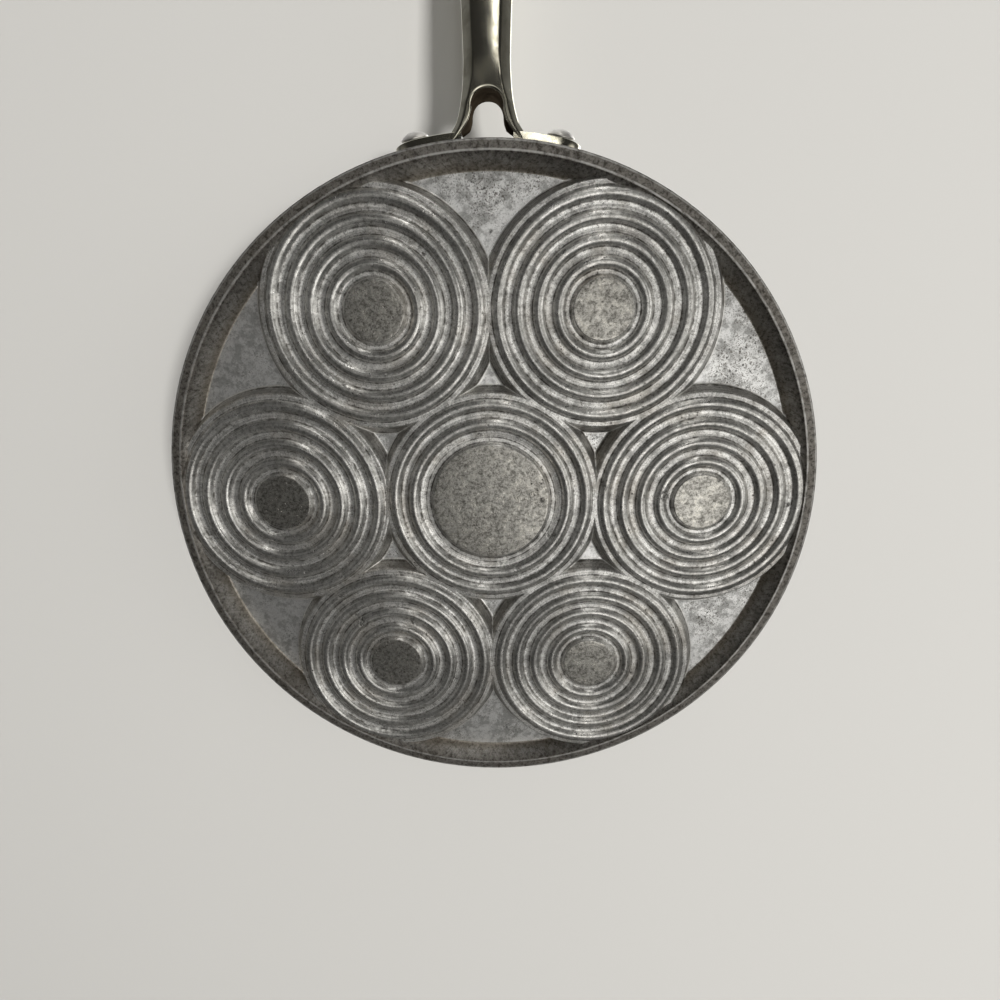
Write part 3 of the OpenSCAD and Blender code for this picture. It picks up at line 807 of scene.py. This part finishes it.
# the fan round the arch
arch_points = [on_arch(TOP_TURN * k / ACROSS) for k in range(ACROSS + 1)]
arch_points += [on_arch(TOP_TURN + (90 - TOP_TURN) * k / REST_STEPS) for k in range(1, REST_STEPS + 1)]
leg_steps = neck_at - REST_STEPS
leg_lines = [ARCH_FOOT + (LEG_END - ARCH_FOOT) * k / leg_steps for k in range(1, leg_steps + 1)]
arch_points += [Vector((arch_leg(y), y)) for y in leg_lines]
far_points = neck_row + [flat_edge[neck_at - k] for k in range(1, neck_at + 1)]
arch_ways = inward(arch_points)
arch_ways[0] = Vector((0, 1))
fork_rows = [hollow_row(a, w, f) for a, w, f in zip(arch_points, arch_ways, far_points)]

# the shaft
shaft_rows = [[(*p, -DEEP) for p in flat_row(rail[k].y, flat_edge[k], ACROSS)]
              for k in range(neck_at, hole_at + 1)]

# the fan round the hanging hole: 45 degrees of it face the shaft, and 135 the rail
around_end = len(rail) - 1 - hole_at
hole_points, hole_ways, hole_far = [], [], []
for k in range(ACROSS + around_end + 1):
    t = -90 + 45 * k / ACROSS if k <= ACROSS else -45 + 135 * (k - ACROSS) / around_end
    way = direction(t).to_2d()
    hole_ways.append(way)
    hole_points.append(Vector((0, HOLE_Y)) + way * HOLE_RADIUS)
    hole_far.append(hole_row[k] if k <= ACROSS else flat_edge[hole_at + k - ACROSS])
hole_points[0].x = hole_points[-1].x = 0.0
hole_ways[0], hole_ways[-1] = Vector((0, -1)), Vector((0, 1))
end_rows = [hollow_row(a, w, f) for a, w, f in zip(hole_points, hole_ways, hole_far)]

# the facet and the side along the rail, with half of the groove that the weld leaves
GROOVE_DEEP = 0.22
GROOVE_HALF = 0.35
rail_rows = []
for here, way in zip(rail, ways_in):
    facet = facet_at(here.y)
    profile = rounded([(facet + 3 * SOFT, -DEEP, 0), (facet, -DEEP, 0), (0, facet - DEEP, 0), (0, 0, 0)],
                      [SOFT / math.tan(math.pi / 8)] * 2, 5)[1:]
    groove = GROOVE_DEEP if NECK < here.y < END - 1.5 else 0.0
    profile = profile[:-1] + [Vector((0, -GROOVE_HALF, 0)), Vector((groove, 0, 0))]
    rail_rows.append([(*(here + way * u.x), u.y) for u in profile])
print("skins have", [len(rows) for rows in (fork_rows, shaft_rows, end_rows, rail_rows)], "rows")

# %% [markdown]
# It is easier to draw the handle straight and level first and to bend it afterwards. Mirroring the quarter
# twice keeps its two sides exactly alike. Then every point is moved: up the slope, closer to the middle where
# the grip gets thin, outwards a little on the flats, and, at the ends of the legs, out to the round wall.

# %% Join the four skins, mirror them twice, then thin and bend the handle
ARCH_SHADE = 1              # place of the painted shade inside the arch
THIN_FROM = 239.4       # where the handle starts to get thinner
THINNED = 1.5           # how much half its depth has lost at the far end
BEND_FROM = 143.6       # where the handle starts to bend up
BEND_RUN = 30.0         # length of the bend
SLOPE = math.tan(math.radians(9.0))
CROWN = 0.35            # how far the flats swell along their middle
SEAT_FROM = 138.0       # from here to their ends the legs are drawn out to the wall
SEAT_GAP = 0.05         # air left between the steel and the wall


def half_depth(y):
    """Half the depth of the handle."""
    thin = min(1.0, max(0.0, (y - THIN_FROM) / (END - THIN_FROM)))
    return DEEP - THINNED * thin ** 2


def middle_height(y):
    """Height of the handle's middle: level at the fork, a smooth bend, then a straight slope."""
    bend = min(1.0, max(0.0, (y - BEND_FROM) / BEND_RUN))
    return MIDDLE + SLOPE * (BEND_RUN * bend ** 2 / 2 + max(0.0, y - BEND_FROM - BEND_RUN))


skin = bmesh.new()
for rows in (fork_rows, shaft_rows, end_rows, rail_rows):
    one = stretched(rows)
    if rows is fork_rows:
        for face in one.faces:
            face.material_index = ARCH_SHADE if all(v.co.z > -(DEEP - LIP * 0.7) for v in face.verts) else 0
    add_bmesh(skin, one)
    one.free()
bmesh.ops.remove_doubles(skin, verts=skin.verts, dist=2e-3)
for axis in ("Z", "X"):
    for v in skin.verts:
        if abs(v.co["XYZ".index(axis)]) < 2e-3:
            v.co["XYZ".index(axis)] = 0.0
    bmesh.ops.mirror(skin, geom=skin.verts[:] + skin.edges[:] + skin.faces[:], axis=axis, merge_dist=1e-3)
    bmesh.ops.remove_doubles(skin, verts=skin.verts, dist=1e-3)
leg_ends = [e for e in skin.edges if e.is_boundary]
print("open edges, all at the ends of the legs:", len(leg_ends), all(e.verts[0].co.y < NECK for e in leg_ends))
bmesh.ops.holes_fill(skin, edges=leg_ends, sides=0)

for v in skin.verts:
    x, y, deep = v.co
    if abs(deep) > DEEP - 0.01 and y > NECK:
        ease = min(1.0, (y - NECK) / 8.0) * min(1.0, max(0.0, (HOLE_START - y) / 10.0))
        deep += math.copysign(CROWN * ease * max(0.0, 1 - (x / (side_of_handle(y) - FACET)) ** 2), deep)
    z = middle_height(y) + deep * half_depth(y) / DEEP
    if y < SEAT_FROM:
        seat = math.sqrt((wall_radius(z) + SEAT_GAP) ** 2 - x ** 2)
        y = SEAT_FROM - (SEAT_FROM - y) * (SEAT_FROM - seat) / (SEAT_FROM - LEG_END)
    v.co = (x, y, z)
bmesh.ops.recalc_face_normals(skin, faces=skin.faces)
print("open edges left in the handle:", sum(1 for e in skin.edges if not e.is_manifold))

# %% [markdown]
# Each leg carries a foot, a band of steel that follows the wall of the pan and has a rounded end. The band is
# made the same way: short upright chains placed one after another round the wall. Towards the end they get
# lower and thinner, as the real band does where it was pressed and ground.

# %% The two feet
FOOT_ROOT = 9.3         # distance from the middle line where a foot starts, inside the leg
FOOT_REACH = 34.5       # and where it ends
BAND = 2.8              # thickness of the band
BAND_STEPS = 12         # chains in the straight part, and as many in the rounded end
END_RUN = 1.3           # length of the rounded end, in half depths of the handle
END_THICK = 0.3         # share of the thickness that is left at its point
UNDERCUT = 0.20         # how much the lower edge slants up on its way out


def band_chain(angle, half_height, thick):
    """A closed upright chain round the band: softened edges, its back on the wall of the pan."""
    soft = min(0.35, half_height * 0.8)
    box = rounded([(0, 0, 0), (0, -half_height, 0), (thick, -half_height, 0), (thick, half_height, 0),
                   (0, half_height, 0), (0, 0, 0)], [0.15, soft, soft, 0.15], 3)
    chain = []
    for out, tall in ((p[0], p[1]) for p in box):
        z = MIDDLE + tall + (UNDERCUT * out if tall < 0 else 0.0)
        r = wall_radius(MIDDLE + tall) + SEAT_GAP + out
        chain.append((r * math.sin(angle), r * math.cos(angle), z))
    return chain


def foot_band(side):
    """One foot: side is 1 for the one towards +X and -1 for the other."""
    start, end = math.asin(FOOT_ROOT / WALL_LINE), math.asin(FOOT_REACH / (WALL_LINE + BAND))
    turn = END_RUN * DEEP / WALL_LINE
    angles = [start + (end - turn - start) * k / BAND_STEPS for k in range(BAND_STEPS)]
    angles += [end - turn * (1 - math.sin(math.pi / 2 * k / BAND_STEPS)) for k in range(BAND_STEPS)]
    chains = []
    for angle in angles:
        share = max(0.0, (angle - (end - turn)) / turn)
        round_off = math.sqrt(max(0.004, 1 - share ** 2))
        thick = BAND * (END_THICK + (1 - END_THICK) * round_off)
        chains.append(band_chain(side * angle, DEEP * round_off, thick))
    bm = stretched(chains)
    bmesh.ops.remove_doubles(bm, verts=bm.verts, dist=2e-3)
    bmesh.ops.holes_fill(bm, edges=[e for e in bm.edges if e.is_boundary], sides=0)
    bmesh.ops.recalc_face_normals(bm, faces=bm.faces)
    return bm


for side in (-1, 1):
    one_foot = foot_band(side)
    add_bmesh(skin, one_foot)
    one_foot.free()


# %% [markdown]
# ### Satin steel
# The handle is stainless steel with a satin polish. It mirrors the room softly, a little warm, with hairlines
# along its length, faint waves left by pressing and polishing, and a few dull finger marks. One function makes
# three finishes from the same patterns: the handle's, a duller one for the rivets, and a dark brown painted
# shade inside the arch, which doesn't shine like a metal at all.

# %% The satin steel
def satin_steel(name, light, dark, gloss, metal=1.0, shine=0.5):
    """A finish between two colours, with gloss as its lowest roughness."""
    material, tree, shader = new_material(name)
    spot = put(tree, "ShaderNodeTexCoord").outputs["Object"]
    waves = grain(tree, spot, 60.0, 2.0, 0.5)
    marks = grain(tree, spot, 170.0, 4.0, 0.6, 0.5)
    specks = grain(tree, spot, 1400.0, 3.0, 0.7)
    stretch = put(tree, "ShaderNodeMapping", {"Vector": spot, "Scale": (2400.0, 50.0, 2400.0)})
    hairs = grain(tree, stretch.outputs["Vector"], 1.0, 4.0, 0.65)
    colour = blended(tree, between(tree, marks, 0.40, 0.70), light, dark)
    colour = blended(tree, between(tree, specks, 0.66, 0.76, 0.0, 0.5), colour, dark)
    tree.links.new(colour, shader.inputs["Base Color"])
    rough = sums(tree, "ADD", between(tree, marks, 0.30, 0.70, gloss, gloss + 0.07),
                 sums(tree, "MULTIPLY", hairs, 0.06))
    tree.links.new(rough, shader.inputs["Roughness"])
    shader.inputs["Metallic"].default_value = metal
    shader.inputs["Specular IOR Level"].default_value = shine
    normal = bumped(tree, waves, 0.22, 0.0010)
    normal = bumped(tree, hairs, 0.10, 0.00003, normal)
    tree.links.new(normal, shader.inputs["Normal"])
    return material


STEEL = satin_steel("satin_steel", (0.60, 0.575, 0.475, 1), (0.46, 0.435, 0.345, 1), 0.10)
# painted shade: the inside of the arch gets a dark brown, matt finish that is no metal, for the shade that falls
# there
ARCH_SHADE_STEEL = satin_steel("arch_painted_shade", (0.040, 0.031, 0.021, 1), (0.020, 0.015, 0.010, 1), 0.60,
                           metal=0.0, shine=0.0)
RIVET_STEEL = satin_steel("rivet_steel", (0.64, 0.62, 0.58, 1), (0.46, 0.44, 0.41, 1), 0.34)
handle = finished(skin, "handle", [STEEL, ARCH_SHADE_STEEL], 34)
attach(handle, "root")
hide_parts("handle_lower", "handle_upper")

# %% [markdown]
# ## The rivets
# Two rivets hold the feet. Each has a domed head outside, hammered over a shank, and a low head inside the
# pan. Each is turned standing up, like a mushroom with two caps, and then laid through the wall, square to its
# lean.

# %% Turn the rivets and set them in the wall
RIVET_X = 26.2          # distance of a rivet from the handle's middle line
RIVET_Z = 15.4          # height of a rivet on the wall
OUTER_HEAD = (5.1, 2.4)     # radius and height of the head on the foot
INNER_HEAD = (4.0, 1.8)     # radius and height of the head inside the pan
SHANK = 2.6             # radius of the shank
draft = math.atan(lean)
outer_seat = BAND * math.cos(draft) + 2 * SEAT_GAP
inner_seat = -WALL * math.cos(draft) - SEAT_GAP


def dome(radius, tall, base, up):
    """A low dome from its middle out to its rim, above its base if up is 1 and below it if up is -1."""
    edge = 0.35         # height of the small straight edge
    rise = tall - edge
    sphere = (radius ** 2 + rise ** 2) / (2 * rise)
    span = math.asin(min(1.0, radius / sphere))
    points = [(sphere * math.sin(span * k / 10), edge + rise - sphere * (1 - math.cos(span * k / 10)))
              for k in range(11)]
    return [(r, base + up * h) for r, h in points] + [(radius, base)]


outer_dome = dome(*OUTER_HEAD, outer_seat, 1)
inner_dome = dome(*INNER_HEAD, inner_seat, -1)
rivet_profile = outer_dome + [(SHANK, outer_seat), (SHANK, inner_seat)] + list(reversed(inner_dome))
rivets = bmesh.new()
for way in (-1, 1):
    one = turned(rivet_profile)
    bmesh.ops.recalc_face_normals(one, faces=one.faces)
    angle = math.asin(RIVET_X / wall_radius(RIVET_Z))
    place = (Matrix.Rotation(math.pi / 2 + way * angle, 4, "Z")
             @ Matrix.Translation((wall_radius(RIVET_Z), 0, RIVET_Z))
             @ Matrix.Rotation(math.pi / 2 + draft, 4, "Y"))
    bmesh.ops.transform(one, matrix=place, verts=one.verts)
    add_bmesh(rivets, one)
    one.free()
rivet_pair = finished(rivets, "rivet_pair", [RIVET_STEEL], 40)
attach(rivet_pair, "root")
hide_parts("rivets")

# %% [markdown]
# ## The stage
# A studio floor sweeps up into a wall with a wide curve, so that no corner shows behind the object. Behind the
# pan, seen from below, hangs a sheet of pale paper. Both are matt and show from one side only, so each is seen
# from its own side of the pan and is out of the way of cameras on the other. A lamp below the pan lights the
# paper sheet, and two softer ones above it light the cooking side.

# %% The stage: a pale sweep, a pale sheet, and lamps
def pale_surface(name, tone, lift):
    """A matt surface that shows from its front only: from behind, it lets everything through."""
    material, tree, shader = new_material(name)
    shader.inputs["Base Color"].default_value = tone
    shader.inputs["Roughness"].default_value = 0.9
    shader.inputs["Specular IOR Level"].default_value = 0.1
    shader.inputs["Emission Color"].default_value = tone
    shader.inputs["Emission Strength"].default_value = lift
    behind = put(tree, "ShaderNodeNewGeometry").outputs["Backfacing"]
    clear = put(tree, "ShaderNodeBsdfTransparent").outputs[0]
    mix = put(tree, "ShaderNodeMixShader", {0: behind, 1: shader.outputs[0], 2: clear})
    tree.links.new(mix.outputs[0], tree.nodes["Material Output"].inputs["Surface"])
    return material


def only_camera(piece):
    """Makes a piece of the stage seen by the camera and by nothing else."""
    piece.visible_shadow = False
    piece.visible_diffuse = False
    piece.visible_glossy = False
    piece.visible_transmission = False


FLOOR_DROP = 0.3        # the floor is this far under the foot ring
SWEEP_REACH = 3500      # distance of the studio's wall
SWEEP_CURVE = 1500      # radius of the curve between floor and wall
SHEET_HEIGHT = 44       # height of the paper sheet above the pan
STAGE_SIZE = 6000       # height of the wall, and half the width of the sheet

sweep_corners = [(0, -FLOOR_DROP, 0), (SWEEP_REACH, -FLOOR_DROP, 0), (SWEEP_REACH, STAGE_SIZE, 0)]
sweep = turned([(p[0], p[1]) for p in rounded(sweep_corners, [SWEEP_CURVE], 16)])
if sum(face.normal.z for face in sweep.faces if face.calc_center_median().z < 0) < 0:
    bmesh.ops.reverse_faces(sweep, faces=sweep.faces)
floor = finished(sweep, "pale_floor", [pale_surface("floor_paper", (0.52, 0.517, 0.505, 1), 0.0)])
only_camera(floor)
sheet = bmesh.new()
bmesh.ops.create_grid(sheet, x_segments=1, y_segments=1, size=STAGE_SIZE)
bmesh.ops.translate(sheet, vec=(0, 0, SHEET_HEIGHT), verts=sheet.verts)
bmesh.ops.reverse_faces(sheet, faces=sheet.faces)
backdrop = finished(sheet, "pale_backdrop", [pale_surface("back_paper", (0.475, 0.47, 0.455, 1), 0.02)])
only_camera(backdrop)


def lamp(name, place, target, size, power, tone=(1.0, 1.0, 1.0)):
    """A rectangular lamp that the camera doesn't see; places and sizes in metres, power in watts."""
    data = bpy.data.lights.new(name, "AREA")
    data.shape = "RECTANGLE"
    data.size, data.size_y = size
    data.energy = power
    data.color = tone
    piece = bpy.data.objects.new(name, data)
    piece.location = place
    piece.rotation_euler = (Vector(target) - Vector(place)).to_track_quat("-Z", "Y").to_euler()
    piece.visible_camera = False
    bpy.context.scene.collection.objects.link(piece)
    return piece


backdrop_key = lamp("backdrop_key", (-1.55, 0.0, -2.7), (0, 0.05, 0), (0.55, 0.55), 112.0, (1.0, 0.985, 0.96))
backdrop_key.visible_glossy = False
lamp("key_above", (0.55, -0.45, 0.95), (0, 0.05, 0), (0.7, 0.7), 14.0)
lamp("fill_above", (-0.80, 0.50, 0.70), (0, 0.05, 0), (0.8, 0.8), 6.0)

# %% [markdown]
# ## The room
# What a metal shows is the room it stands in. Above, the room is even and pale. Below, where the photographer
# stood, it is dark, and the ribs pick out what is bright in it: a window with its upper part, a pale wall on
# the right of the picture, and faintly the rest of the room and a table. A tall gap between curtains, past the
# far end of the handle, makes the bright strip along it, and pale boards round the pan lift the outermost
# reflections. The world shader paints that room from the direction alone, so it is the same for every camera.

# %% Paint the room's light
world = bpy.data.worlds.new("room")
bpy.context.scene.world = world
world.use_nodes = True
room = world.node_tree
aim = put(room, "ShaderNodeTexCoord").outputs["Generated"]
axis = put(room, "ShaderNodeSeparateXYZ", {0: aim})


def glow(toward, wide, narrow, strength):
    """A soft bright patch of the room, full within the narrow angle and gone past the wide one."""
    facing = put(room, "ShaderNodeVectorMath", {0: aim, 1: Vector(toward).normalized()},
                 operation="DOT_PRODUCT").outputs["Value"]
    return between(room, facing, math.cos(math.radians(wide)), math.cos(math.radians(narrow)), 0.0, strength)


low = between(room, axis.outputs["Y"], -0.6, 0.3, 0.02, 0.03)
curtain_gap = sums(room, "MULTIPLY", line_at(room, axis.outputs["X"], -0.105, 0.060),
                   between(room, axis.outputs["Y"], 0.40, 0.60, 0.0, 5.0))
patches = [
    glow((-0.27, -0.22, -0.94), 21, 6, 1.9),        # the window
    glow((-0.02, 0.13, -0.99), 15, 8, 0.9),         # its upper part, past the photographer
    glow((-0.82, 0.08, -0.56), 26, 8, 1.5),         # a pale wall on the right
    glow((0.85, 0.10, -0.50), 30, 8, 0.16),         # the room on the left
    glow((0.0, -0.85, -0.50), 30, 8, 0.14),         # the table under the photographer
    curtain_gap,                                    # the tall gap between curtains, seen in the handle
    between(room, axis.outputs["Z"], -0.55, -0.15, 0.0, 0.06),      # pale boards round the pan
]
for patch in patches:
    low = sums(room, "ADD", low, patch)
high = between(room, axis.outputs["Z"], 0.25, 0.9, 0.20, 0.85)
high = sums(room, "ADD", high, glow((0.1, 0.92, 0.38), 32, 14, 0.7))
share = between(room, axis.outputs["Z"], 0.0, 0.14)
level = put(room, "ShaderNodeMix", {0: share, 2: low, 3: high}, data_type="FLOAT").outputs[0]
tint = blended(room, share, (1.0, 0.985, 0.95, 1), (1.0, 1.0, 0.995, 1))
background = room.nodes["Background"]
room.links.new(tint, background.inputs["Color"])
room.links.new(level, background.inputs["Strength"])
bpy.context.scene.view_settings.view_transform = "Standard"
print("bright patches in the room below:", len(patches))
